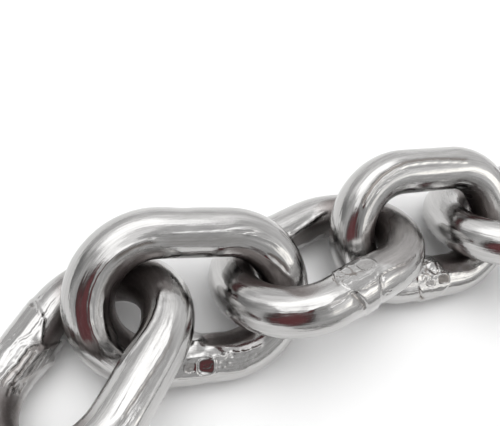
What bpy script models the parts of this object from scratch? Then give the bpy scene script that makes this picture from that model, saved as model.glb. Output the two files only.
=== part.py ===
# A length of bright polished short-link steel chain, lying loose on a level floor in two wide hairpin turns.
# Metres, +Z up, the floor at Z = 0. The free end of the chain, which the photo shows, runs along +X.
import math

import bpy
import numpy as np
from mathutils import Matrix, Vector

# Driving dimensions, in metres
WIRE_DIAMETER = 0.010
INNER_LENGTH = 0.030
INNER_WIDTH = 0.016
LINK_COUNT = 33
# Clear gap left between two links that bear on each other, a little more than the facets of the solids take up
SEAT_GAP = 0.00045

# A link's centreline: two straight legs joined by two half circles
BEND_RADIUS = (INNER_WIDTH + WIRE_DIAMETER) / 2
HALF_LEG = (INNER_LENGTH - INNER_WIDTH) / 2

# Fineness of the solids. The faceted bend runs half outside and half inside the true one.
BEND_STEPS = 8
SECTION_SIDES = 12
FACETED_RADIUS = 2 * BEND_RADIUS / (1 + math.cos(math.pi / BEND_STEPS / 2))

# How the five links of the free end lie, from the photo: centre x, y in mm, then the heading of the long axis,
# its rise above level and the lean of the link's flat side, in degrees
FREE_END = (
    (0.0, 0.0, 43.6, -5.2, -31.1),
    (23.2, 6.3, -11.5, -4.0, 34.4),
    (52.3, 6.9, 11.9, -3.5, -36.2),
    (81.7, 7.8, -6.2, -3.6, 36.2),
    (110.2, 4.9, -4.2, 4.9, -35.4),
)

# The rest of the course: a number of links, the turn at each of them, how far each link's far end dips
# and how far the headings zigzag, in degrees
COURSE = (
    (3, 0.0, 3.5, 8.0),
    (11, -16.0, 0.0, 0.0),
    (6, 0.0, 3.5, 8.0),
    (8, 16.0, 0.0, 0.0),
)

# Sideways swings of a step off the course that are tried when a link is pulled up, in degrees
SIDEWAYS = range(-24, 25, 3)

# The links beyond the free end lean over alternately, and lie a little unevenly
LEAN = 35.0
UNEVEN_LEAN = 2.0
UNEVEN_HEADING = 2.0

STEEL_COLOUR = (0.56, 0.55, 0.53, 1.0)
STEEL_ROUGHNESS = 0.18


def clear_scene():
    for item in list(bpy.data.objects):
        bpy.data.objects.remove(item, do_unlink=True)


def steel():
    """Bright polished steel."""
    material = bpy.data.materials.new("polished_steel")
    material.use_nodes = True
    shader = material.node_tree.nodes["Principled BSDF"]
    shader.inputs["Base Color"].default_value = STEEL_COLOUR
    shader.inputs["Metallic"].default_value = 1.0
    shader.inputs["Roughness"].default_value = STEEL_ROUGHNESS
    return material


def centreline():
    """Points along the middle of a link's wire, in the link's own plane, long axis along X."""
    points = []
    for side in (1, -1):
        for step in range(BEND_STEPS + 1):
            angle = math.pi * (step / BEND_STEPS - 0.5)
            across = side * FACETED_RADIUS * math.sin(angle)
            along = side * (HALF_LEG + FACETED_RADIUS * math.cos(angle))
            points.append(Vector((along, across, 0.0)))
    return points


def fine_centreline(count=180):
    """Evenly fine points and directions along the same line, used to seat the links."""
    straight = 2 * HALF_LEG
    arc = math.pi * BEND_RADIUS
    total = 2 * (straight + arc)
    points = []
    directions = []
    for index in range(count):
        run = total * index / count
        side = 1
        if run >= total / 2:
            run -= total / 2
            side = -1
        if run < arc:
            angle = run / BEND_RADIUS - math.pi / 2
            point = (HALF_LEG + BEND_RADIUS * math.cos(angle), BEND_RADIUS * math.sin(angle))
            direction = (-math.sin(angle), math.cos(angle))
        else:
            point = (HALF_LEG - (run - arc), BEND_RADIUS)
            direction = (-1.0, 0.0)
        points.append(Vector((side * point[0], side * point[1], 0.0)))
        directions.append(Vector((side * direction[0], side * direction[1], 0.0)))
    return points, directions


def turning(heading, rise, lean):
    """Rotation that lays a link down: its long axis, its width and its normal, from angles in degrees."""
    heading, rise, lean = (math.radians(value) for value in (heading, rise, lean))
    level = math.cos(rise)
    long_axis = Vector((math.cos(heading) * level, math.sin(heading) * level, math.sin(rise)))
    side = Vector((-math.sin(heading), math.cos(heading), 0.0))
    upward = long_axis.cross(side)
    width = math.cos(lean) * side + math.sin(lean) * upward
    normal = long_axis.cross(width)
    return Matrix((long_axis, width, normal)).transposed()


def floor_height(turn, points, directions):
    """Height of a link's centre at which its wire just touches the floor."""
    lowest = 0.0
    for point, direction in zip(points, directions):
        slope = (turn @ direction).z
        reach = WIRE_DIAMETER / 2 * math.sqrt(max(0.0, 1.0 - slope * slope))
        lowest = min(lowest, (turn @ point).z - reach)
    return -lowest


def clearance(first, second):
    """Gap between the wires of two placed links."""
    apart = first[:, None, :] - second[None, :, :]
    return math.sqrt((apart ** 2).sum(axis=2).min()) - WIRE_DIAMETER


def place_points(turn, centre, points):
    return np.array([turn @ point + centre for point in points])


def heading_vector(angle):
    return Vector((math.cos(angle), math.sin(angle), 0.0))


def pulled_up_step(neighbours, start, course, line, height):
    """Step from one link's centre to the next when the next is pulled along the course until it bears."""
    longest = INNER_LENGTH + 0.2 * WIRE_DIAMETER
    shortest = INNER_LENGTH - 0.6 * WIRE_DIAMETER
    best = None
    for swing in SIDEWAYS:
        way = heading_vector(math.radians(course + swing))

        def gap_at(distance):
            centre = np.array(Vector((start.x, start.y, height)) + way * distance)
            return min(clearance(other, line + centre) for other in neighbours)

        far = longest
        near = longest - 0.05 * WIRE_DIAMETER
        while near > shortest and gap_at(near) < SEAT_GAP:
            far = near
            near -= 0.05 * WIRE_DIAMETER
        if near <= shortest:
            continue
        for _ in range(10):
            middle = (near + far) / 2
            if gap_at(middle) < SEAT_GAP:
                far = middle
            else:
                near = middle
        progress = near * math.cos(math.radians(swing))
        if best is None or progress > best[0]:
            best = (progress, way * near)
    return best[1]


def lay_chain():
    """Turn and centre of every link, from the free end on."""
    points, directions = fine_centreline()
    lying = []
    for x, y, heading, rise, lean in FREE_END:
        turn = turning(heading, rise, lean)
        lying.append((turn, Vector((x / 1000, y / 1000, floor_height(turn, points, directions)))))
    course = 0.0
    for count, bend, dip, zigzag in COURSE:
        for _ in range(count):
            index = len(lying)
            raised_side = 1 if index % 2 else -1
            course += bend
            heading = course - raised_side * zigzag + UNEVEN_HEADING * math.sin(2.3 * index)
            lean = raised_side * (LEAN + UNEVEN_LEAN * math.sin(1.7 * index))
            turn = turning(heading, -dip, lean)
            height = floor_height(turn, points, directions)
            last_centre = lying[-1][1]
            neighbours = [place_points(*other, points) for other in lying[-2:]]
            line = place_points(turn, Vector(), points)
            step = pulled_up_step(neighbours, last_centre, course - bend / 2, line, height)
            lying.append((turn, Vector((last_centre.x, last_centre.y, height)) + step))
    return lying[:LINK_COUNT]


def make_link(name, turn, centre, material, collection):
    """One closed link: a bevelled closed curve, turned into a mesh in the chain's own coordinates."""
    curve = bpy.data.curves.new(name + "_path", "CURVE")
    curve.dimensions = "3D"
    curve.bevel_depth = WIRE_DIAMETER / 2
    curve.bevel_resolution = SECTION_SIDES // 2 - 2
    curve.resolution_u = 1
    path = centreline()
    spline = curve.splines.new("POLY")
    spline.points.add(len(path) - 1)
    spline.use_cyclic_u = True
    for point, target in zip(path, spline.points):
        place = turn @ point + centre
        target.co = (place.x, place.y, place.z, 1.0)
    shape = bpy.data.objects.new(name + "_shape", curve)
    collection.objects.link(shape)
    view_layer = bpy.context.view_layer
    view_layer.update()
    solid = bpy.data.meshes.new_from_object(shape.evaluated_get(bpy.context.evaluated_depsgraph_get()))
    bpy.data.objects.remove(shape, do_unlink=True)
    solid.name = name
    solid.materials.clear()
    solid.materials.append(material)
    link = bpy.data.objects.new(name, solid)
    collection.objects.link(link)
    return link


def main():
    clear_scene()
    collection = bpy.data.collections.new("steel_chain")
    bpy.context.scene.collection.children.link(collection)
    material = steel()
    links = []
    for index, (turn, centre) in enumerate(lay_chain()):
        links.append(make_link(f"link_{index + 1:02d}", turn, centre, material, collection))
    corners = np.array([vertex.co for link in links for vertex in link.data.vertices])
    low = corners.min(axis=0)
    high = corners.max(axis=0)
    # The chain's box stands centred over the origin, with the lowest wire on the floor
    middle = Vector(((low[0] + high[0]) / 2, (low[1] + high[1]) / 2, low[2]))
    for link in links:
        link.data.transform(Matrix.Translation(-middle))
    print("moved by", [round(-value * 1000, 3) for value in middle], "mm")


main()
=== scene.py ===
import math
import random

import bmesh
import bpy
import numpy as np
from mathutils import Matrix, Vector, noise


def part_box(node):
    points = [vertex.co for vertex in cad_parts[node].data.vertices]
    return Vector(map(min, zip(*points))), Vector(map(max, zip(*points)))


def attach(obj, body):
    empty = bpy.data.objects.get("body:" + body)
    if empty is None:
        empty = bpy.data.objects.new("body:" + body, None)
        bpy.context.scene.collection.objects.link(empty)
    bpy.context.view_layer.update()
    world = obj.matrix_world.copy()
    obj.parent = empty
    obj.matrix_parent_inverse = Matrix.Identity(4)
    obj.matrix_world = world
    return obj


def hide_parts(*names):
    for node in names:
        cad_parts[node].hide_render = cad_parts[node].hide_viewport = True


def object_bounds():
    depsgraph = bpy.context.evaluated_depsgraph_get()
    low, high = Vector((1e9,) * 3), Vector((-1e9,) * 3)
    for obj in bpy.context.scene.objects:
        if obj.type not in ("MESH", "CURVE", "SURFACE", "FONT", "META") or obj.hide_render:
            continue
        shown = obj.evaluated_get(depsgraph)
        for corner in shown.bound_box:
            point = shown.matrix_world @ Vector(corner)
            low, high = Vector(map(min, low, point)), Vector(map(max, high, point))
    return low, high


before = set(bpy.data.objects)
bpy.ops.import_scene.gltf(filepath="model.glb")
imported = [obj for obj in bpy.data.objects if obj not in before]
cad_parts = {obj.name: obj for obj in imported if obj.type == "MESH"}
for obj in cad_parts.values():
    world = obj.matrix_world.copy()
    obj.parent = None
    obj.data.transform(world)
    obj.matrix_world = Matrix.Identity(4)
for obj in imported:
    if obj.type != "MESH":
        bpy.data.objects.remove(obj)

cad_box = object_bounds()

# Shapes are worked out in millimetres and laid down in metres
MM = 0.001

# The link: round wire bent to an oval, as in the CAD
WIRE = 10.0
INNER_LENGTH = 30.0
INNER_WIDTH = 16.0
BEND_RADIUS = (INNER_WIDTH + WIRE) / 2
HALF_LEG = (INNER_LENGTH - INNER_WIDTH) / 2
LOOP_LENGTH = 2 * math.pi * BEND_RADIUS + 4 * HALF_LEG

# The photographed end of the chain is made finer than the rest: how many sides the wire has, the degrees of
# each bend next to the weld that are stepped finely, the steps there and in the rest of the bend, and each
# leg's step in mm
NEAR_LINKS = 5
NEAR_GRID = {"sides": 192, "fine_angle": 30, "fine_steps": 24, "bend_steps": 56, "plain_step": 0.7,
             "weld_step": 0.16}
FAR_GRID = {"sides": 64, "fine_angle": 30, "fine_steps": 10, "bend_steps": 18, "plain_step": 1.4,
            "weld_step": 0.4}


def srgb(code):
    """A hex colour as seen on a screen, turned to linear."""
    values = [int(code[i:i + 2], 16) / 255 for i in (1, 3, 5)]
    linear = [v / 12.92 if v <= 0.04045 else ((v + 0.055) / 1.055) ** 2.4 for v in values]
    return (*linear, 1.0)


def smooth(low, high, value):
    """0 below low, 1 above high, and an even S between, for a number or an array."""
    part = np.clip((value - low) / (high - low), 0.0, 1.0)
    return part * part * (3 - 2 * part)


def add(tree, kind, links=None, values=None, **settings):
    """Adds a node, sets its properties and socket values, and links its inputs."""
    node = tree.nodes.new(kind)
    for name, value in settings.items():
        setattr(node, name, value)
    for socket, value in (values or {}).items():
        node.inputs[socket].default_value = value
    for socket, source in (links or {}).items():
        tree.links.new(source, node.inputs[socket])
    return node


# Wire of a link
def sweep_wire(sides, fine_angle, fine_steps, bend_steps, plain_step, weld_step):
    """A plain link lying flat, in mm: a circle of the wire swept round both bends and along both legs."""
    bm = bmesh.new()
    start = Matrix.Translation((HALF_LEG, -BEND_RADIUS, 0)) @ Matrix.Rotation(math.pi / 2, 4, "Y")
    made = bmesh.ops.create_circle(bm, cap_ends=False, segments=sides, radius=WIRE / 2, matrix=start)
    ring = list({edge for vertex in made["verts"] for edge in vertex.link_edges})
    fine = (math.radians(fine_angle), fine_steps)
    rest = (math.radians(180 - fine_angle), bend_steps)
    for side, parts, step in ((1, (fine, rest), plain_step), (-1, (rest, fine), weld_step)):
        for angle, steps in parts:
            bent = bmesh.ops.spin(bm, geom=ring, cent=(side * HALF_LEG, 0, 0), axis=(0, 0, 1), dvec=(0, 0, 0),
                                  angle=angle, steps=steps, use_merge=False, use_duplicate=False)
            ring = [item for item in bent["geom_last"] if isinstance(item, bmesh.types.BMEdge)]
        cuts = round(2 * HALF_LEG / step)
        for _ in range(cuts):
            drawn = bmesh.ops.extrude_edge_only(bm, edges=ring)
            ends = {item for item in drawn["geom"] if isinstance(item, bmesh.types.BMVert)}
            bmesh.ops.translate(bm, vec=(-side * 2 * HALF_LEG / cuts, 0, 0), verts=list(ends))
            edges = [item for item in drawn["geom"] if isinstance(item, bmesh.types.BMEdge)]
            ring = [edge for edge in edges if all(vertex in ends for vertex in edge.verts)]
    bmesh.ops.remove_doubles(bm, verts=bm.verts, dist=1e-4)
    bmesh.ops.recalc_face_normals(bm, faces=bm.faces)
    return bm


def wire_place(point):
    """Where a point of the flat link lies on its wire: the middle of the wire there, the way outwards, the
    run from the weld's middle in mm, and the angle round the wire in degrees, 0 outside and 90 on top."""
    if abs(point.x) <= HALF_LEG:
        outward = Vector((0, math.copysign(1, point.y), 0))
        middle = Vector((point.x, 0, 0)) + outward * BEND_RADIUS
        run = point.x if point.y < 0 else math.copysign(LOOP_LENGTH / 2, point.x) - point.x
    else:
        end = Vector((math.copysign(HALF_LEG, point.x), 0, 0))
        outward = (Vector((point.x, point.y, 0)) - end).normalized()
        middle = end + outward * BEND_RADIUS
        turned = math.atan2(outward.y, abs(outward.x)) + math.pi / 2
        run = math.copysign(HALF_LEG + BEND_RADIUS * turned, point.x)
    around = point - middle
    angle = math.degrees(math.atan2(around.z, around.dot(outward)))
    return middle, outward, run, angle


# Relief of the wire. Its noise closes over so many mm next to the middle of the plain leg, and is shifted from
# link to link. Its lines sway by so many mm, at two rates, and a trim reaches so many degrees round the wire
SEAM_BLEND = 6.0
SEED_SHIFT = 17.3
SWAYS = ((0.06, 2.3), (0.04, 5.1))
TRIM_REACH = 60


class Skin:
    """The wire's surface laid out flat: the run and angle of each point, the height that the marks add up to,
    the brown of tarnish, which is also painted shade in the welds' grooves, creases and dents, and the mill
    scale, which is also painted shade inside the bends. A mark is placed by its run, in mm along the wire from
    the weld's middle, and its angle round the wire in degrees: 0 outside, 90 on top, 180 inside the link and
    negative underneath. Lengths, heights and the widths of lines are in mm, other widths in degrees."""

    def __init__(self, run, angle, seed):
        self.run = run
        self.angle = angle
        self.height = np.zeros(len(run))
        self.tarnish_and_shade = np.zeros(len(run))
        self.scale = np.zeros(len(run))
        self.seed = seed

    def off_angle(self, angle):
        """Degrees from an angle, the short way round the wire."""
        return (self.angle - angle + 180) % 360 - 180

    def off_run(self, run):
        """Millimetres from a run along the wire, the short way round the link."""
        return (self.run - run + LOOP_LENGTH / 2) % LOOP_LENGTH - LOOP_LENGTH / 2

    def grain(self, around, along, shift=0.0, where=None):
        """Noise with grains so many mm wide round the wire and so long along it, without a seam."""
        where = np.ones(len(self.run), bool) if where is None else where
        across = np.cos(np.radians(self.angle)) * WIRE / 2 / around
        upward = np.sin(np.radians(self.angle)) * WIRE / 2 / around
        # Both ends of the run meet in the middle of the plain leg, where one noise passes into the other
        blend = smooth(LOOP_LENGTH / 2 - SEAM_BLEND, LOOP_LENGTH / 2, np.abs(self.run)) / 2
        field = np.zeros(len(self.run))
        other = self.run - np.copysign(LOOP_LENGTH, self.run)
        lift = shift + SEED_SHIFT * self.seed
        for i in np.nonzero(where)[0]:
            value = noise.noise(Vector((across[i], upward[i], self.run[i] / along + lift)))
            if blend[i] > 0:
                ahead = noise.noise(Vector((across[i], upward[i], other[i] / along + lift)))
                value = value * (1 - blend[i]) + ahead * blend[i]
            field[i] = value
        return field

    def line(self, height, half_width, points, fade=1.5, tarnish_and_shade=0.0):
        """A raised or sunk line through the given points, a little unsteady, fading at both ends, brown along
        it with tarnish and painted shade as much as asked.
        """
        middle_run = sum(run for run, _ in points) / len(points)
        middle_angle = sum(angle for _, angle in points) / len(points)
        along = self.off_run(middle_run)
        across = np.radians(self.off_angle(middle_angle)) * WIRE / 2
        (slow_sway, slow_rate), (quick_sway, quick_rate) = SWAYS
        sway = slow_sway * np.sin(slow_rate * along + middle_angle)
        across = across + sway + quick_sway * np.sin(quick_rate * along)
        flat = [(run - middle_run, math.radians(angle - middle_angle) * WIRE / 2) for run, angle in points]
        nearest = np.full(len(self.run), np.inf)
        place = np.zeros(len(self.run))
        passed = 0.0
        for (x0, y0), (x1, y1) in zip(flat, flat[1:]):
            length = math.hypot(x1 - x0, y1 - y0)
            part = np.clip(((along - x0) * (x1 - x0) + (across - y0) * (y1 - y0)) / length ** 2, 0, 1)
            off = np.hypot(along - x0 - part * (x1 - x0), across - y0 - part * (y1 - y0))
            closer = off < nearest
            nearest = np.where(closer, off, nearest)
            place = np.where(closer, passed + part * length, place)
            passed += length
        inside = np.exp(-(nearest / half_width) ** 2)
        inside = inside * smooth(0, fade, place) * smooth(0, fade, passed - place)
        self.height += height * inside
        # Brown of tarnish and painted shade along the line
        self.tarnish_and_shade = np.maximum(self.tarnish_and_shade, tarnish_and_shade * inside)

    def patch(self, run, angle, half_length, half_width, power):
        """A rounded box: how far along and across it each point is, in mm, and how far out, 1 at its edge."""
        along = self.off_run(run)
        across = np.radians(self.off_angle(angle)) * WIRE / 2
        half_arc = math.radians(half_width) * WIRE / 2
        off = (np.abs(along / half_length) ** power + np.abs(across / half_arc) ** power) ** (1 / power)
        return along, across, off

    def dent(self, run, angle, half_length, half_width, height, rim=0.0, tilt=(0.0, 0.0), power=4,
             tarnish_and_shade=0.0):
        """A patch pressed flat by a tool, with a rim, and tilted so many degrees along and round the wire,
        brown with tarnish and painted shade as much as asked.
        """
        along, across, off = self.patch(run, angle, half_length, half_width, power)
        inside = smooth(1.1, 0.78, off)
        slope = along * math.tan(math.radians(tilt[0])) + across * math.tan(math.radians(tilt[1]))
        self.height += inside * (height + slope) + rim * np.exp(-((off - 1.05) / 0.13) ** 2)
        # Brown of tarnish and painted shade over the pressed patch
        self.tarnish_and_shade = np.maximum(self.tarnish_and_shade, tarnish_and_shade * inside)

    def lump(self, run, angle, half_length, half_width, height):
        """A soft lump or hollow."""
        across = self.off_angle(angle) / half_width
        self.height += height * np.exp(-(self.off_run(run) / half_length) ** 2 - across ** 2)

    def leave_scale(self, run, angle, half_length, half_width, amount):
        """A patch of brown mill scale that the polishing didn't reach, with a ragged edge."""
        _, _, off = self.patch(run, angle, half_length, half_width, 3)
        off = off + 0.5 * self.grain(2.2, 4.0, 31.0, off < 1.6)
        self.scale = np.maximum(self.scale, amount * smooth(1.2, 0.8, off))

    def collar(self, swell, left, right):
        """The metal squeezed out at the weld, between two edges given as (angle, run, softness in mm)."""
        inside = 1.0
        for edge, way in ((left, 1), (right, -1)):
            angles, runs, softness = zip(*sorted(edge))
            past = way * (self.run - np.interp(self.angle, angles, runs, period=360))
            inside = inside * smooth(0, 1, past / np.interp(self.angle, angles, softness, period=360))
        self.height += swell * inside

    def trim(self, angle, level, start, stop):
        """Trims the weld flat: seen from the angle, nothing between start and stop stands further than level
        from the wire's middle."""
        off = self.off_angle(angle)
        reach = level / np.cos(np.radians(np.clip(off, -TRIM_REACH, TRIM_REACH)))
        over = np.maximum(0, WIRE / 2 + self.height - reach) * (np.abs(off) < TRIM_REACH)
        over = over * smooth(start - 0.8, start + 0.8, self.run) * smooth(stop + 1.2, stop - 1.2, self.run)
        self.height -= over

    def crumple(self, start, stop, low, high, depth, around, along, shift=0.0, tarnish_and_shade=1.0):
        """Metal squeezed into soft lumps with sharp creases between them, brown in the creases with tarnish and
        painted shade.
        """
        off = np.abs(self.off_angle((low + high) / 2)) - (high - low) / 2
        inside = smooth(start - 1, start + 0.6, self.run) * smooth(stop + 1, stop - 0.6, self.run)
        inside = inside * smooth(8, -6, off)
        where = inside > 0
        # Noise folded over at 0 is sharp in its valleys and soft on its hills
        lumps = 2.4 * np.abs(self.grain(around, along, shift, where))
        lumps += 0.7 * np.abs(self.grain(around / 2.3, along / 2.3, shift + 5, where))
        self.height += inside * depth * (np.minimum(lumps, 1.2) - 0.45)
        # Brown of tarnish and painted shade in the creases between the lumps
        self.tarnish_and_shade = np.maximum(self.tarnish_and_shade, tarnish_and_shade * inside * smooth(0.45, 0.05, lumps))

    def crease(self, height, half_width, points, beside=-4.5, tarnish_and_shade=0.3):
        """A raised burr line with a fine groove along one side of it, brown in the groove with tarnish and
        painted shade.
        """
        self.line(height, half_width, points)
        groove = [(run, angle + beside) for run, angle in points]
        self.line(-0.6 * height, half_width, groove, tarnish_and_shade=tarnish_and_shade)


# Shallow waves left on the wire: their height, width round the wire and length along it in mm, and a shift
# that keeps them unlike each other
WAVES = ((0.05, 1.7, 26.0, 0.0), (0.016, 0.7, 15.0, 3.1), (0.07, 7.0, 10.0, 7.7), (0.018, 0.9, 5.0, 12.3))
DIE_LINES = 9


def drawn_wire(skin, rng):
    """What drawing and polishing leave on the wire: shallow waves, and a few fine lines from the die."""
    for height, around, along, shift in WAVES:
        skin.height += height * skin.grain(around, along, shift)
    for _ in range(DIE_LINES):
        angle = rng.uniform(-180, 180)
        start = rng.uniform(-50, 20)
        length = rng.uniform(12, 45)
        wander = rng.uniform(-4, 4)
        parts = (0, 0.25, 0.5, 0.75, 1)
        points = [(start + length * part, angle + wander * math.sin(3 * part)) for part in parts]
        skin.line(rng.uniform(-0.02, 0.025), rng.uniform(0.16, 0.3), points, fade=5.0)


def scale_and_shade_in_bends(skin, right, left):
    """The scale left inside both bends, which is also painted shade there, its ragged edge so many degrees from
    the middle of the inner side.
    """
    run = np.abs(skin.run)
    bend = smooth(6, 15, run) * smooth(LOOP_LENGTH / 2 - 6, LOOP_LENGTH / 2 - 15, run)
    off = np.abs(skin.off_angle(180))
    reach = np.where(skin.run > 0, right, left)
    near = (bend > 0) & (off < reach + 60)
    edge = reach + 50 * skin.grain(3.0, 6.0, 21.0, near)
    # Mill scale with painted shade darkens the inner side of each bend
    skin.scale = np.maximum(skin.scale, bend * smooth(edge + 14, edge - 14, off))


# Welds
def ordinary_edges(rng, side):
    """Both edges of an ordinary weld's collar, on the link's top for side 1 or its underside for side -1."""
    left = ((20, -4.2), (45, -5.3), (75, -6.4), (105, -6.0), (135, -4.6), (160, -3.8))
    right = ((20, 1.6), (45, 2.0), (75, 3.2), (105, 3.7), (135, 4.4), (160, 3.0))
    return [[(side * angle, run + rng.uniform(-0.5, 0.5), softness) for angle, run in edge]
            for edge, softness in ((left, 0.4), (right, 1.6))]


def ordinary_face(skin, rng, side):
    """One face of an ordinary weld: flash left inside the link, a flat trimmed on top with two dents from the
    tool, burr lines on both sides of it and on the outside, and creases between."""
    skin.lump(rng.uniform(0.0, 1.4), side * rng.uniform(142, 154), 1.4, 13, rng.uniform(0.3, 0.5))
    skin.lump(rng.uniform(3.5, 4.8), side * rng.uniform(132, 140), 1.3, 9, rng.uniform(0.1, 0.25))
    flat = side * rng.uniform(84, 96)
    skin.trim(flat, rng.uniform(4.98, 5.08), -6.6, 4.0)
    skin.dent(rng.uniform(0.8, 2.2), flat, 1.7, 15, -0.12, rim=0.045,
              tilt=(rng.uniform(-8, 12), rng.uniform(-4, 4)), power=3, tarnish_and_shade=0.4)
    skin.dent(rng.uniform(-2.4, -1.2), flat + rng.uniform(-3, 3), 1.1, 10, -0.09, rim=0.04,
              tilt=(rng.uniform(-6, 6), 0))
    low, high = flat - side * 20, flat + side * 20
    skin.crease(0.06, 0.2, [(-5.8, low + rng.uniform(-3, 3)), (-3.0, low), (0.0, low - side),
                            (3.6, low + side * 3)])
    skin.crease(0.06, 0.2, [(-4.6, high), (-1.5, high + side * 2), (1.5, high + side * 3), (5, high),
                            (10, high - side * 4)])
    burr = side * rng.uniform(40, 52)
    skin.crease(0.07, 0.2, [(-11, burr - side * 3), (-6, burr + side * 4), (-2, burr), (1.8, burr + side * 5),
                            (8, burr)])
    skin.crumple(-6.0, -1.0, flat - 14, flat + 14, 0.10, 1.8, 1.8, shift=side)
    skin.crumple(-4.5, 3.0, side * 135 - 20, side * 135 + 20, 0.14, 2.0, 1.8, shift=3 + side)


def first_link(skin, rng):
    """The end link: a wide collar whose flash folds over into a flap on the inner side, and a lap along the
    plain leg."""
    left, right = ordinary_edges(rng, -1)
    left += [(40, -8.2, 1.2), (60, -8.0, 1.2), (78, -7.6, 1.2), (92, -6.8, 1.2), (108, -5.7, 1.2),
             (125, -4.6, 1.1), (132, -3.7, 1.1), (140, -2.3, 1.0), (147, -1.3, 0.9), (153, -0.7, 0.8),
             (165, -0.9, 0.8)]
    right += [(40, 11, 3), (90, 12, 3), (130, 12, 3), (150, 11, 3)]
    skin.collar(0.28, left, right)
    skin.trim(89, 5.06, -6.4, 3.5)
    # The lip round the collar's left edge
    skin.line(0.24, 0.36, ((-7.1, 76), (-6.3, 92), (-5.1, 108), (-4.0, 125), (-2.0, 137), (-0.7, 145),
                           (-0.1, 151)), fade=0.6)
    # The flap's raised edge, with a groove on each side of it
    skin.line(0.16, 0.3, ((-0.4, 151), (0.3, 142), (1.0, 134), (2.0, 130.5), (5, 132), (6.5, 128), (8, 126.5),
                          (11, 126)))
    skin.line(-0.16, 0.35, ((0.3, 157), (1.0, 145), (2.2, 138), (5, 139), (8, 134), (11, 134)), fade=0.8,
              tarnish_and_shade=0.6)
    skin.line(-0.16, 0.3, ((-10, 119), (-8, 118), (-4.8, 121), (-1, 121.5), (0.3, 117), (1.5, 109),
                           (3, 106.5), (6, 106)))
    # A fine groove and three pits on top of the collar
    skin.line(-0.10, 0.25, ((-5.7, 62), (-5.6, 78), (-5.2, 94)), fade=0.8, tarnish_and_shade=0.4)
    skin.lump(-7.6, 81, 0.4, 5, -0.12)
    skin.lump(0.8, 87, 0.35, 4, -0.07)
    skin.lump(1.8, 85, 0.3, 3, -0.05)
    # The hollow over the flap, and the folds and scale on the flap itself
    skin.line(-0.26, 0.6, ((0.8, 121), (2.5, 117), (5, 117), (9, 118)), fade=1.2)
    skin.line(-0.14, 0.2, ((6.2, 134), (6.5, 147), (6.2, 160)), fade=0.8, tarnish_and_shade=0.7)
    skin.line(-0.10, 0.25, ((1.0, 150), (4.0, 151), (9.0, 150), (13.0, 152)), fade=1.0, tarnish_and_shade=0.7)
    skin.crumple(-0.6, 10.0, 141, 185, 0.16, 2.0, 6.0, shift=0, tarnish_and_shade=0.7)
    skin.leave_scale(-6.0, 162, 6.5, 24, 0.9)
    skin.leave_scale(6.0, 162, 7.0, 26, 0.35)
    # The plain leg: a lap with a groove beside it, a ridge under it, short scratches and a bright edge line
    plain_middle = LOOP_LENGTH / 2
    lap = ((-8, 55), (-5, 53), (-2, 51), (2, 48), (5, 46.5), (7, 48), (9, 52))
    skin.crease(0.13, 0.28, [(plain_middle + run, angle) for run, angle in lap], beside=-5, tarnish_and_shade=0.6)
    for height, half_width, fade, points in (
            (0.3, 1.2, 3.0, ((-9, 22), (-3, 20), (3, 18), (9, 22))),
            (-0.10, 0.28, 1.0, ((-9, 66), (-6, 64), (-2, 65.5), (0.5, 66))),
            (-0.09, 0.28, 1.0, ((3.5, 61), (8, 62.5), (12, 61))),
            (-0.05, 0.5, 1.0, ((-7, 16), (-2, 12), (3, 6), (6.5, 5), (8.5, 10))),
            (0.22, 0.42, 2.0, ((0.5, 114), (3, 106), (8, 99), (14, 92), (17, 80)))):
        skin.line(height, half_width, [(plain_middle + run, angle) for run, angle in points], fade=fade)
    # Rubbed places in the left bend, against the next link
    skin.crumple(-41.5, -36.0, 60, 92, 0.10, 1.4, 1.8, shift=2, tarnish_and_shade=0.3)
    skin.leave_scale(plain_middle + 20, 90, 5.0, 36, 0.8)
    ordinary_face(skin, rng, -1)


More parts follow.
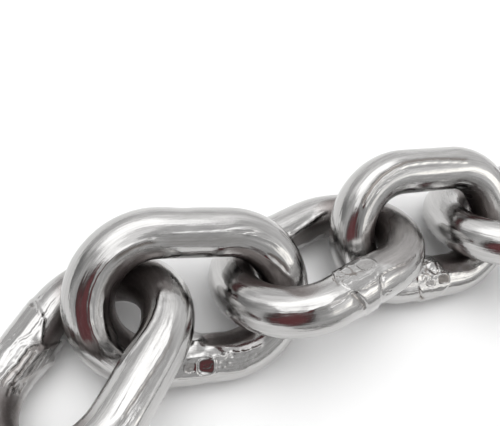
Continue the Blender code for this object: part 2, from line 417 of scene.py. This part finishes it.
def second_link(skin, rng):
    """The link behind: its weld trimmed flat on top, with square tool dents and an S-shaped flash inside, and
    burr lines along the plain leg and into both bends."""
    left, right = ordinary_edges(rng, -1)
    left += [(25, -5.4, 0.5), (60, -5.2, 0.5), (90, -4.6, 0.5), (120, -4.0, 0.5), (150, -3.0, 0.6)]
    right += [(25, 2.6, 2.2), (60, 3.6, 2.2), (90, 5.4, 2.2), (120, 7.0, 2.4), (150, 3.0, 1.6)]
    skin.collar(0.22, left, right)
    # Flash inside the link, one big lump and smaller ones to its right
    skin.lump(0.5, 149, 1.35, 13, 0.52)
    skin.lump(2.3, 141, 0.8, 8, -0.12)
    skin.lump(4.4, 138, 1.3, 8, 0.2)
    skin.lump(7.6, 131, 1.8, 8, 0.1)
    # The trimmed top: a big square dent with two fine ridges in it, a small one to its left, and four specks
    skin.trim(93.5, 4.93, -4.5, 9.0)
    skin.dent(2.2, 93.5, 1.85, 18.5, -0.12, rim=0.04, tilt=(13, 4), power=4)
    skin.dent(-1.1, 93, 1.1, 12, -0.06, rim=0.03, tilt=(-4, 6), power=3, tarnish_and_shade=0.4)
    skin.crumple(-1.9, -0.3, 82, 104, 0.05, 1.0, 1.0)
    skin.line(0.05, 0.22, ((1.0, 91), (2.0, 89.5), (3.2, 91)), fade=0.5)
    skin.line(0.05, 0.22, ((1.2, 98), (2.4, 97), (3.5, 98.5)), fade=0.5)
    for run, angle, half_length, half_width in (
            (4.7, 97, 0.5, 5), (4.5, 87, 0.35, 4), (5.7, 86, 0.4, 4), (6.6, 95, 0.5, 4)):
        skin.lump(run, angle, half_length, half_width, 0.07)
    # The S-shaped flash above the dents, the burr line below them, and soft lumps with scale to the right
    skin.line(0.18, 0.32, ((-2, 112), (-0.5, 113.5), (0.8, 116), (2.0, 116), (3, 112.5), (4.5, 112.5),
                           (6, 114.5), (7.2, 117), (8, 118.5), (9, 115), (12, 111), (16, 106)))
    skin.crease(0.06, 0.2, ((-5, 77), (-3, 75), (0, 72), (2, 72), (3.5, 71), (4.6, 76), (7, 73), (11, 71)))
    skin.crumple(4, 15, 80, 108, 0.03, 1.3, 1.6, shift=4, tarnish_and_shade=0.3)
    skin.lump(8.5, 133, 5.5, 14, 0.22)
    skin.leave_scale(9.5, 163, 7.5, 25, 1.0)
    # The left bend: lumps that carry a burr line, and a groove where it starts
    skin.lump(78.0, 96, 13.0, 20, 0.32)
    skin.lump(96.0, 100, 5.0, 20, 0.35)
    skin.lump(69.5, 92, 4.0, 14, 0.25)
    skin.line(0.18, 0.3, ((62.5, 94), (66.0, 90), (70.0, 88), (74.0, 87), (80.0, 88), (86.0, 89), (91.0, 90)),
              fade=2.0)
    skin.line(-0.14, 0.3, ((62.5, 99), (66.5, 96), (70.0, 94), (73.0, 93)), fade=2.0, tarnish_and_shade=1.0)
    skin.crumple(63.0, 67.0, 92, 98, 0.05, 0.9, 1.2)
    # The plain leg: a bright burr line, crumpled at its right end, and three faint grooves above it
    skin.line(0.18, 0.3, ((43, 67), (46, 72), (50, 79), (54.8, 81), (61, 83)), fade=2.0)
    skin.line(0.12, 0.32, ((43, 67), (45, 71), (48, 76)), fade=1.5)
    skin.line(0.22, 0.34, ((46, 85), (42.5, 81), (40, 77), (38, 73)), fade=1.5)
    skin.crumple(37.5, 44.5, 72, 84, 0.05, 0.9, 1.3, shift=6, tarnish_and_shade=0.0)
    for angle in (93, 99, 105):
        skin.line(-0.07, 0.3, ((44, angle + 2), (50, angle), (56, angle - 1), (63, angle + 1)), fade=3.0,
                  tarnish_and_shade=0.25)
    # The right bend: a burr line that ends in a lump, with a groove inside it, and a ridge further down
    skin.line(0.2, 0.36, ((31, 80), (32, 93), (33.5, 102), (35.5, 107), (38, 112), (40, 114)), fade=1.5)
    skin.lump(36.8, 114, 1.8, 6, 0.12)
    skin.line(-0.14, 0.3, ((32.7, 93), (35, 97), (37.5, 102), (39.5, 106)), fade=1.0, tarnish_and_shade=0.7)
    skin.line(0.16, 0.4, ((-32, 117), (-25, 116), (-21, 110), (-19, 103)), fade=3.0)
    # A hollow in the outline of the plain leg
    skin.lump(-52.5, -5, 2.2, 40, -0.14)
    ordinary_face(skin, rng, -1)


def third_link(skin, rng):
    """The raised link in the middle: a sharp lip left of its weld, a round dent on top and a burr line right
    along it, over a deep notch."""
    left, right = ordinary_edges(rng, -1)
    left = [edge for edge in left if edge[0] < -60]
    right = [edge for edge in right if edge[0] < -60]
    left += [(-40, -3.2, 1.5), (-10, -3.4, 0.8), (0, -3.6, 0.5), (20, -4.2, 0.4), (40, -5.2, 0.35),
             (52, -5.9, 0.3), (64, -6.5, 0.3), (80, -6.8, 0.3), (95, -6.7, 0.3), (110, -5.9, 0.3),
             (120, -5.5, 0.35), (135, -4.8, 0.4), (160, -4.3, 0.6)]
    right += [(-40, 1.2, 1.5), (0, 0.9, 1.2), (20, 1.1, 1.2), (40, 1.5, 1.2), (52, 2.6, 1.6), (64, 4.0, 3.2),
              (90, 4.8, 4.2), (120, 4.8, 3.2), (160, 4.6, 1.6)]
    skin.collar(0.36, left, right)
    skin.trim(86, 5.1, -6.6, 4.0)
    skin.dent(0.85, 87, 1.8, 16.5, -0.09, rim=0.035, tilt=(0, 0), power=2.5, tarnish_and_shade=0.2)
    skin.crumple(-0.6, 2.4, 76, 98, 0.05, 1.1, 1.1, shift=9, tarnish_and_shade=0.5)
    # The notch in the lip from the outside, narrow in the middle of a broad hollow, and the lip's edge on top,
    # all brown with tarnish and painted shade
    skin.line(-0.18, 0.45, ((-4.0, -9), (-4.2, 5), (-4.8, 19), (-5.3, 31), (-5.9, 41), (-6.6, 50)), fade=0.8,
              tarnish_and_shade=0.7)
    skin.line(-0.14, 0.9, ((-4.4, 2), (-5.0, 16), (-5.7, 28), (-6.3, 38)), fade=1.0, tarnish_and_shade=0.2)
    skin.line(-0.16, 0.18, ((-7.3, 73), (-7.1, 84), (-6.9, 96), (-6.2, 108)), fade=0.6, tarnish_and_shade=0.8)
    skin.line(0.09, 0.3, ((-6.5, 62), (-6.2, 74), (-6.0, 90), (-5.5, 104)), fade=0.8)
    # The burr line from end to end of the leg, on a broad low ridge
    burr = ((-14, 41), (-12, 43.5), (-10, 47), (-8, 50), (-6.3, 52), (-5, 48), (-3, 45.5), (-1, 44.5),
            (0, 45.5), (1, 48), (2, 51.5), (3.5, 51), (5.5, 50), (8, 46), (12, 40))
    skin.line(0.12, 0.9, burr)
    skin.crease(0.16, 0.28, burr)
    # The far leg's ridge, and the dull right bend
    skin.line(0.3, 0.55, ((56, 157), (53.7, 153), (48.4, 144), (42.2, 132)), fade=1.5)
    skin.leave_scale(47, 176, 10, 24, 0.7)
    skin.leave_scale(18, 88, 14, 54, 0.5)
    # The wall round the dent, the second notch with a swelling beside it, and scratches
    skin.line(0.13, 0.32, ((-5.4, 72), (-4.6, 65), (-3, 61), (-1, 59.5), (0.6, 61), (2.3, 66), (2.9, 78),
                           (2.9, 94)), fade=1.0)
    skin.line(-0.14, 0.8, ((0.5, 2), (0.8, 20), (1.3, 36), (2.0, 48)), fade=0.8, tarnish_and_shade=0.2)
    skin.lump(4.8, 33, 2.6, 9, 0.1)
    skin.line(0.1, 0.3, ((-18.3, 53), (-17.9, 42), (-17.6, 30), (-17.0, 9)), fade=0.8)
    skin.line(-0.07, 0.15, ((1.5, 2), (2.4, -3), (3.5, -7)), fade=0.5, tarnish_and_shade=0.4)
    skin.line(-0.06, 0.15, ((1.3, 9), (3.6, 2)), fade=0.5, tarnish_and_shade=0.3)
    # Crumpled metal left of the dent, and slanted folds inside the link
    skin.crumple(-6.2, -1.2, 74, 108, 0.14, 1.9, 1.9)
    for start, height in ((-4.6, -0.07), (-3.0, 0.06), (-1.2, -0.06), (1.0, 0.05), (2.6, -0.05)):
        skin.line(height, 0.3, ((start, 104), (start + 1.4, 120), (start + 2.8, 140)), fade=1.0,
                  tarnish_and_shade=0.3 if height < 0 else 0.0)
    ordinary_face(skin, rng, -1)


def fourth_link(skin, rng):
    """The link at the right: lumpy flash inside its weld, a square dent on top and a crack that ends in a
    pit, and a long burr line on the plain leg."""
    left, right = ordinary_edges(rng, -1)
    left += [(20, -3.8, 0.8), (45, -3.2, 0.5), (60, -4.0, 0.3), (75, -4.7, 0.3), (92, -5.3, 0.3),
             (120, -5.8, 0.4), (150, -5.5, 0.5)]
    right += [(20, 1.6, 1.2), (60, 3.2, 1.6), (90, 4.0, 1.2), (110, 3.2, 0.6), (125, 2.6, 0.5),
              (150, 2.4, 0.5)]
    skin.collar(0.26, left, right)
    # Flash inside the link
    for run, angle, half_length, half_width, height in (
            (-0.2, 146, 1.8, 13, 0.5), (-2.6, 124, 1.1, 9, 0.26), (-4.6, 116, 0.9, 9, 0.26),
            (0.9, 127, 0.8, 7, 0.2), (4.2, 102, 0.7, 6, 0.1)):
        skin.lump(run, angle, half_length, half_width, height)
    # The trimmed top with its dents and a small hollow
    skin.trim(95, 4.98, -5.5, 8.0)
    skin.dent(2.0, 100, 1.5, 12, -0.12, rim=0.05, tilt=(12, 4), power=5, tarnish_and_shade=0.8)
    skin.dent(-1.8, 94, 1.3, 7, -0.12, rim=0.04, tilt=(10, 0), power=3, tarnish_and_shade=0.3)
    skin.lump(0.8, 76, 0.8, 5, -0.09)
    # The crack along the collar's left edge, and its pit, brown with tarnish and painted shade
    skin.line(-0.16, 0.18, ((-5.3, 92), (-4.7, 74), (-4.2, 62), (-3.5, 53)), fade=0.5, tarnish_and_shade=0.8)
    skin.line(-0.26, 0.55, ((-4.2, 59), (-3.3, 49), (-2.2, 40)), fade=0.8, tarnish_and_shade=1.0)
    # Burr lines below and above the dents, and crumpled metal and scale inside the link
    skin.crease(0.06, 0.2, ((-9, 80), (-5.4, 80), (-2, 79), (2, 80), (5, 84)))
    skin.line(0.13, 0.3, ((-1.5, 113), (1, 115), (3, 114), (6, 112), (10, 108), (14, 106)))
    skin.crumple(-5.6, 1.8, 104, 160, 0.17, 2.2, 1.9)
    skin.leave_scale(9.0, 156, 7.0, 42, 1.0)
    # The plain leg's burr line
    skin.crease(0.25, 0.36, ((46.5, 69), (52, 63), (57, 60), (62, 62), (66, 66), (70, 67), (76.5, 72)),
                beside=-6, tarnish_and_shade=1.0)
    ordinary_face(skin, rng, -1)


def ordinary_link(skin, rng):
    """A link out of the photo's sight: its weld is like the seen ones, each a little different."""
    top_left, top_right = ordinary_edges(rng, 1)
    under_left, under_right = ordinary_edges(rng, -1)
    skin.collar(rng.uniform(0.2, 0.34), top_left + under_left, top_right + under_right)
    ordinary_face(skin, rng, 1)
    ordinary_face(skin, rng, -1)


# The links by number from the free end. The weld of the fifth is out of sight, so it is an ordinary one
SEEN_LINKS = {1: first_link, 2: second_link, 3: third_link, 4: fourth_link}
# How many degrees the scale and its painted shade reach from the middle of the inner side, in the right and in
# the left bend
SCALE_AND_SHADE_REACH = {1: (70, 75), 2: (0, 50), 3: (72, 80), 4: (25, 50), 5: (60, 62)}
ORDINARY_REACH = (60, 60)
# No two links have the same random marks, nor the same lines: they lie so many mm apart in the patterns
FIRST_SEED = 100
PATTERN_SHIFT = 23.0


def link_frame(node, towards):
    """How a CAD link lies: its centre in metres, and its long axis, width and normal as columns."""
    points = np.array([vertex.co for vertex in node.data.vertices])
    centre = points.mean(axis=0)
    _, axes = np.linalg.eigh(np.cov((points - centre).T))
    long_axis = Vector(axes[:, 2])
    normal = Vector(axes[:, 0])
    centre = Vector(centre)
    if (towards - centre).dot(long_axis) < 0:
        long_axis = -long_axis
    if normal.z < 0:
        normal = -normal
    width = normal.cross(long_axis)
    return centre, Matrix((long_axis, width, normal)).transposed()


def make_link(number, node, towards, wire, material):
    """The visible link in place of a CAD one: the plain wire with its relief, laid as the CAD link lies."""
    bm = wire.copy()
    centre, lie = link_frame(node, towards)
    # Looking towards the next link, the weld is on the right-hand leg, but on the end link it is on the left
    if number == 1:
        lie = lie @ Matrix.Rotation(math.pi, 3, "Z")
    places = [wire_place(vertex.co) for vertex in bm.verts]
    rng = random.Random(FIRST_SEED + number)
    skin = Skin(np.array([place[2] for place in places]), np.array([place[3] for place in places]), number)
    drawn_wire(skin, rng)
    scale_and_shade_in_bends(skin, *SCALE_AND_SHADE_REACH.get(number, ORDINARY_REACH))
    SEEN_LINKS.get(number, ordinary_link)(skin, rng)
    wire_way = bm.verts.layers.float_vector.new("wire_way")
    wire_turn = bm.verts.layers.float.new("wire_turn")
    # Tarnish with painted shade in the welds' hollows, and mill scale with painted shade inside the bends, for
    # the steel's colour
    weld_tarnish_and_shade = bm.verts.layers.float.new("weld_tarnish_and_shade")
    mill_scale_and_shade = bm.verts.layers.float.new("mill_scale_and_shade")
    low, high = Vector(cad_box[0]), Vector(cad_box[1])
    for i, (vertex, (middle, outward, run, angle)) in enumerate(zip(bm.verts, places)):
        turn = 2 * math.pi * run / LOOP_LENGTH
        across = WIRE / 2 * math.cos(math.radians(angle))
        upward = WIRE / 2 * math.sin(math.radians(angle))
        vertex[wire_way] = (across + PATTERN_SHIFT * number, upward, WAY_RADIUS * math.cos(turn))
        vertex[wire_turn] = WAY_RADIUS * math.sin(turn)
        vertex[weld_tarnish_and_shade] = skin.tarnish_and_shade[i]
        vertex[mill_scale_and_shade] = skin.scale[i]
        arm = (across * outward + upward * Vector((0, 0, 1))) * (2 / WIRE)
        point = lie @ ((middle + arm * (WIRE / 2 + skin.height[i])) * MM) + centre
        # A lump ends where the link rests on the floor, and nothing stands past the sides of the CAD's box
        vertex.co = [min(max(value, least), most) for value, least, most in zip(point, low, high)]
    mesh = bpy.data.meshes.new(f"welded_link_{number:02d}")
    bm.to_mesh(mesh)
    bm.free()
    for polygon in mesh.polygons:
        polygon.use_smooth = True
    mesh.materials.append(material)
    link = bpy.data.objects.new(mesh.name, mesh)
    bpy.context.scene.collection.objects.link(link)
    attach(link, "root")
    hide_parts(node.name)
    return link


# Steel and floor. The patterns' widths and heights are in mm, drawn coarser than a real wire's so that they
# show at the photo's size, and a stretch is how many times longer than wide a pattern is
LINE_SPACING = 0.45
LINE_STRETCH = 40.0
LINE_HEIGHT = 0.026
STREAK_WIDTH = 0.6
STREAK_STRETCH = 6.0
STREAK_HEIGHT = 0.034
SPECK_SIZE = 0.6
SPECK_HEIGHT = 0.012
CLOUD_SIZE = 2.0
# The wire's way round the loop is laid on a small circle, so that the lines close without a seam
WAY_RADIUS = LOOP_LENGTH / (2 * math.pi) / LINE_STRETCH
DARKER_STEEL = "#b2b1b0"
LIGHTER_STEEL = "#c3c2c1"
# Brown of tarnish, also painted shade in the welds' grooves, creases and dents
TARNISH_AND_SHADE_BROWN = "#6e635b"
# Brown of mill scale, also painted shade inside the bends
SCALE_AND_SHADE_BROWN = "#7c7573"
PAPER_WHITE = "#fbfbfb"


def polished_steel():
    """Bright drawn steel wire, tumbled and polished: a soft mirror with fine lines and short streaks along
    the wire, and brown tarnish and mill scale in the welds' creases and inside the bends, which are also
    painted shade there."""
    material = bpy.data.materials.new("polished_drawn_steel")
    material.use_nodes = True
    tree = material.node_tree
    shader = tree.nodes["Principled BSDF"]
    shader.inputs["Metallic"].default_value = 1.0
    way = add(tree, "ShaderNodeAttribute", attribute_name="wire_way")
    turn = add(tree, "ShaderNodeAttribute", attribute_name="wire_turn")
    tarnish_and_shade = add(tree, "ShaderNodeAttribute", attribute_name="weld_tarnish_and_shade")
    scale = add(tree, "ShaderNodeAttribute", attribute_name="mill_scale_and_shade")
    place = add(tree, "ShaderNodeTexCoord")
    lines = add(tree, "ShaderNodeTexNoise", {"Vector": way.outputs["Vector"], "W": turn.outputs["Fac"]},
                {"Scale": 1 / LINE_SPACING, "Detail": 3.0, "Roughness": 0.6}, noise_dimensions="4D")
    clouds = add(tree, "ShaderNodeTexNoise", {"Vector": way.outputs["Vector"], "W": turn.outputs["Fac"]},
                 {"Scale": 1 / CLOUD_SIZE, "Detail": 4.0, "Roughness": 0.6}, noise_dimensions="4D")
    # Streaks lie on the same circle as the lines, stretched back to their own shorter length
    short_way = add(tree, "ShaderNodeVectorMath", {0: way.outputs["Vector"]},
                    {1: (1.0, 1.0, LINE_STRETCH / STREAK_STRETCH)}, operation="MULTIPLY")
    short_turn = add(tree, "ShaderNodeMath", {0: turn.outputs["Fac"]}, {1: LINE_STRETCH / STREAK_STRETCH},
                     operation="MULTIPLY")
    streaks = add(tree, "ShaderNodeTexNoise", {"Vector": short_way.outputs[0], "W": short_turn.outputs[0]},
                  {"Scale": 1 / STREAK_WIDTH, "Detail": 2.0, "Roughness": 0.6}, noise_dimensions="4D")
    specks = add(tree, "ShaderNodeTexNoise", {"Vector": place.outputs["Object"]},
                 {"Scale": 1 / (SPECK_SIZE * MM), "Detail": 2.0, "Roughness": 0.6})
    # Clean steel, darker and lighter along its lines and streaks, then the brown of tarnish and scale, which is
    # painted shade in the welds' hollows and inside the bends
    fine = add(tree, "ShaderNodeMath", {0: lines.outputs["Fac"], 1: streaks.outputs["Fac"]}, operation="ADD")
    uneven = add(tree, "ShaderNodeMath", {0: clouds.outputs["Fac"], 2: fine.outputs[0]}, {1: 0.7},
                 operation="MULTIPLY_ADD")
    shade = add(tree, "ShaderNodeMapRange", {"Value": uneven.outputs[0]}, {"From Min": 1.1, "From Max": 1.6})
    clean = add(tree, "ShaderNodeMix", {0: shade.outputs[0]}, {6: srgb(DARKER_STEEL), 7: srgb(LIGHTER_STEEL)},
                data_type="RGBA")
    brown = add(tree, "ShaderNodeMath", {0: tarnish_and_shade.outputs["Fac"]}, {1: 0.75}, operation="MULTIPLY")
    stained = add(tree, "ShaderNodeMix", {0: brown.outputs[0], 6: clean.outputs[2]}, {7: srgb(TARNISH_AND_SHADE_BROWN)},
                  data_type="RGBA")
    patches = add(tree, "ShaderNodeMapRange", {"Value": specks.outputs["Fac"]},
                  {"From Min": 0.3, "From Max": 0.7, "To Min": 0.85, "To Max": 1.0})
    covered = add(tree, "ShaderNodeMath", {0: scale.outputs["Fac"], 1: patches.outputs[0]},
                  operation="MULTIPLY")
    colour = add(tree, "ShaderNodeMix", {0: covered.outputs[0], 6: stained.outputs[2]},
                 {7: srgb(SCALE_AND_SHADE_BROWN)}, data_type="RGBA")
    tree.links.new(colour.outputs[2], shader.inputs["Base Color"])
    # Polished metal is glossy, its streaks a little less so, and tarnish and even thin scale are dull
    gloss = add(tree, "ShaderNodeMapRange", {"Value": streaks.outputs["Fac"]},
                {"From Min": 0.35, "From Max": 0.7, "To Min": 0.10, "To Max": 0.20})
    rough_tarnish = add(tree, "ShaderNodeMath", {0: brown.outputs[0]}, {1: 0.45}, operation="MULTIPLY")
    thin = add(tree, "ShaderNodeMath", {0: covered.outputs[0]}, {1: 0.6}, operation="POWER")
    rough_scale = add(tree, "ShaderNodeMath", {0: thin.outputs[0]}, {1: 0.4}, operation="MULTIPLY")
    dull = add(tree, "ShaderNodeMath", {0: rough_tarnish.outputs[0], 1: rough_scale.outputs[0]},
               operation="MAXIMUM")
    rough = add(tree, "ShaderNodeMath", {0: dull.outputs[0], 1: gloss.outputs[0]}, operation="MAXIMUM")
    tree.links.new(rough.outputs[0], shader.inputs["Roughness"])
    # The patterns' heights, added up in mm
    line_relief = add(tree, "ShaderNodeMath", {0: lines.outputs["Fac"]}, {1: LINE_HEIGHT},
                      operation="MULTIPLY")
    streak_relief = add(tree, "ShaderNodeMath", {0: streaks.outputs["Fac"], 2: line_relief.outputs[0]},
                        {1: STREAK_HEIGHT}, operation="MULTIPLY_ADD")
    relief = add(tree, "ShaderNodeMath", {0: specks.outputs["Fac"], 2: streak_relief.outputs[0]},
                 {1: SPECK_HEIGHT}, operation="MULTIPLY_ADD")
    bump = add(tree, "ShaderNodeBump", {"Height": relief.outputs[0]}, {"Strength": 1.0, "Distance": MM})
    tree.links.new(bump.outputs[0], shader.inputs["Normal"])
    return material


def pale_floor():
    """White photo paper: matt, with hardly any sheen."""
    material = bpy.data.materials.new("white_photo_paper")
    material.use_nodes = True
    shader = material.node_tree.nodes["Principled BSDF"]
    shader.inputs["Base Color"].default_value = srgb(PAPER_WHITE)
    shader.inputs["Roughness"].default_value = 0.8
    shader.inputs["Specular IOR Level"].default_value = 0.1
    return material


# Light of the room
def heading(azimuth, elevation=0.0):
    """The direction at an azimuth, from +X towards +Y, and an elevation, in degrees."""
    a = math.radians(azimuth)
    e = math.radians(elevation)
    return (math.cos(a) * math.cos(e), math.sin(a) * math.cos(e), math.sin(e))


# What the steel mirrors: patches of light and shade on grey walls, laid over each other in this order.
# Azimuth and elevation of the middle, half width, half height and how far the edge is feathered, all in
# degrees, then the colour and its strength
WALL_GREY = 0.66
SURROUNDINGS = (
    ("far_wall", 45.0, 12.0, 55.0, 38.0, 20.0, "#ffffff", 0.86),
    ("side_shade", 156.0, 6.0, 20.0, 28.0, 16.0, "#ffffff", 0.26),
    ("near_wall", -75.0, 20.0, 34.0, 34.0, 10.0, "#ffffff", 0.54),
    ("ceiling_shade", -108.0, 60.0, 26.0, 13.0, 8.0, "#ffffff", 0.46),
    ("window_glow", 90.0, 44.0, 46.0, 14.0, 12.0, "#ffffff", 1.2),
    ("window", 100.0, 66.0, 31.0, 21.0, 7.0, "#ffffff", 2.1),
    ("window_corner", -172.0, 66.0, 10.0, 12.0, 5.0, "#ffffff", 1.7),
    ("lamp_glow", -40.0, 34.0, 24.0, 14.0, 10.0, "#ffffff", 1.15),
    ("round_lamp", -38.0, 29.0, 9.0, 7.0, 3.0, "#fffdf8", 2.3),
    ("small_lamp", -59.0, 36.0, 6.0, 4.0, 3.0, "#fffdf8", 1.7),
    ("strip_lamp", -38.0, 60.0, 16.0, 3.0, 2.0, "#ffffff", 2.8),
    ("ceiling", -45.0, 90.0, 16.0, 12.0, 5.0, "#ffffff", 1.25),
    ("card_edge", -132.0, 34.0, 32.0, 29.0, 6.0, "#6a6462", 0.45),
    ("dark_card", -132.0, 34.0, 22.0, 25.0, 7.0, "#8c585b", 0.72),
)
# What lights the matt floor: a soft box at this azimuth and elevation, narrower the higher its power, that
# fades out a little behind its own horizon, and a little light from everywhere
SOFT_BOX = (85.0, 75.0)
SOFT_BOX_STRENGTH = 5.45
SOFT_BOX_POWER = 10.0
SOFT_BOX_EDGE = -0.2
ROOM_STRENGTH = 0.13


def studio_world():
    """The room round the chain: one look for the steel's reflections, one light for the floor, white behind."""
    world = bpy.data.worlds.new("studio")
    bpy.context.scene.world = world
    world.use_nodes = True
    tree = world.node_tree
    tree.nodes.clear()
    place = add(tree, "ShaderNodeTexCoord")
    wall = add(tree, "ShaderNodeRGB")
    wall.outputs[0].default_value = (WALL_GREY, WALL_GREY, WALL_GREY, 1.0)
    last = wall.outputs[0]
    for name, azimuth, elevation, half_width, half_height, feather, code, strength in SURROUNDINGS:
        # A patch is an oval round its middle: how far off the middle a direction is, sideways and upwards
        side = Vector(heading(azimuth + 90.0))
        middle = Vector(heading(azimuth, elevation))
        up = side.cross(middle)
        widest = math.sin(math.radians(half_width))
        highest = math.sin(math.radians(half_height))
        measures = (side / widest, up / highest, middle)
        across, upward, ahead = [
            add(tree, "ShaderNodeVectorMath", {0: place.outputs["Generated"]}, {1: way},
                operation="DOT_PRODUCT")
            for way in measures]
        flat = add(tree, "ShaderNodeCombineXYZ", {0: across.outputs["Value"], 1: upward.outputs["Value"]})
        off = add(tree, "ShaderNodeVectorMath", {0: flat.outputs[0]}, operation="LENGTH")
        reach = feather / max(half_width, half_height)
        inside = add(tree, "ShaderNodeMapRange", {"Value": off.outputs["Value"]},
                     {"From Min": 1 + reach, "From Max": 1 - reach}, interpolation_type="SMOOTHSTEP")
        front = add(tree, "ShaderNodeMath", {0: ahead.outputs["Value"]}, {1: 0.0}, operation="GREATER_THAN")
        share = add(tree, "ShaderNodeMath", {0: inside.outputs[0], 1: front.outputs[0]}, operation="MULTIPLY")
        shade = [value * strength for value in srgb(code)[:3]]
        patch = add(tree, "ShaderNodeMix", {0: share.outputs[0], 6: last}, {7: (*shade, 1.0)},
                    data_type="RGBA", label=name)
        last = patch.outputs[2]
    mirrored = add(tree, "ShaderNodeBackground", {"Color": last})
    towards = add(tree, "ShaderNodeVectorMath", {0: place.outputs["Generated"]}, {1: heading(*SOFT_BOX)},
                  operation="DOT_PRODUCT")
    near = add(tree, "ShaderNodeMapRange", {"Value": towards.outputs["Value"]},
               {"From Min": SOFT_BOX_EDGE, "From Max": 1.0})
    lobe = add(tree, "ShaderNodeMath", {0: near.outputs[0]}, {1: SOFT_BOX_POWER}, operation="POWER")
    brightness = add(tree, "ShaderNodeMath", {0: lobe.outputs[0]}, {1: SOFT_BOX_STRENGTH, 2: ROOM_STRENGTH},
                     operation="MULTIPLY_ADD")
    floor_light = add(tree, "ShaderNodeBackground", {"Strength": brightness.outputs[0]},
                      {"Color": srgb("#ffffff")})
    backdrop = add(tree, "ShaderNodeBackground", values={"Color": srgb("#ffffff")})
    path = add(tree, "ShaderNodeLightPath")
    light = add(tree, "ShaderNodeMixShader",
                {0: path.outputs["Is Diffuse Ray"], 1: mirrored.outputs[0], 2: floor_light.outputs[0]})
    room = add(tree, "ShaderNodeMixShader",
               {0: path.outputs["Is Camera Ray"], 1: light.outputs[0], 2: backdrop.outputs[0]})
    add(tree, "ShaderNodeOutputWorld", {0: room.outputs[0]})
    world.cycles.sampling_method = "MANUAL"
    world.cycles.sample_map_resolution = 1024


# In metres
FLOOR_HALF_SIZE = 6.0


def lay_floor():
    """A sheet of white paper under the chain, reaching out of the picture on all sides."""
    bm = bmesh.new()
    bmesh.ops.create_grid(bm, x_segments=1, y_segments=1, size=FLOOR_HALF_SIZE)
    mesh = bpy.data.meshes.new("paper_floor")
    bm.to_mesh(mesh)
    bm.free()
    mesh.materials.append(pale_floor())
    floor = bpy.data.objects.new("paper_floor", mesh)
    bpy.context.scene.collection.objects.link(floor)


# The photo's camera, close over the end link: its place, the azimuth it looks along, how far down it looks
# and how far it is tilted to one side, in degrees, and its focal length, from the photo's pixels
CAMERA_PLACE = (-121.61 * MM, 158.70 * MM, 124.53 * MM)
CAMERA_AZIMUTH = 45.0
CAMERA_DOWN = 59.92
CAMERA_TILT = -27.66
PHOTO_WIDTH = 500
FOCAL_PIXELS = 587.72
SENSOR_WIDTH = 36
NEAREST_SEEN = 5 * MM


def place_camera():
    """The camera that sees the chain as the photo does."""
    down = math.radians(CAMERA_DOWN)
    tilt = math.radians(CAMERA_TILT)
    level = Vector(heading(CAMERA_AZIMUTH))
    ahead = level * math.cos(down) - Vector((0, 0, math.sin(down)))
    right = Vector(heading(CAMERA_AZIMUTH - 90.0))
    below = ahead.cross(right)
    turned_right = math.cos(tilt) * right + math.sin(tilt) * below
    turned_below = -math.sin(tilt) * right + math.cos(tilt) * below
    data = bpy.data.cameras.new("camera")
    data.sensor_width = SENSOR_WIDTH
    data.lens = FOCAL_PIXELS / PHOTO_WIDTH * SENSOR_WIDTH
    data.clip_start = NEAREST_SEEN
    camera = bpy.data.objects.new("camera", data)
    turn = Matrix((turned_right, -turned_below, -ahead)).transposed().to_4x4()
    camera.matrix_world = Matrix.Translation(CAMERA_PLACE) @ turn
    bpy.context.scene.collection.objects.link(camera)
    bpy.context.scene.camera = camera


def main():
    studio_world()
    lay_floor()
    place_camera()
    steel = polished_steel()
    # Each link is laid out towards the next one, the last one away from the one before it
    names = sorted(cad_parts)
    middles = {}
    for name in names:
        low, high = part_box(name)
        middles[name] = (low + high) / 2
    near_wire = sweep_wire(**NEAR_GRID)
    far_wire = sweep_wire(**FAR_GRID)
    for number, name in enumerate(names, start=1):
        if number < len(names):
            towards = middles[names[number]]
        else:
            towards = 2 * middles[name] - middles[names[number - 2]]
        wire = near_wire if number <= NEAR_LINKS else far_wire
        make_link(number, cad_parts[name], towards, wire, steel)
    near_wire.free()
    far_wire.free()
    bpy.context.scene.view_settings.view_transform = "Standard"


main()
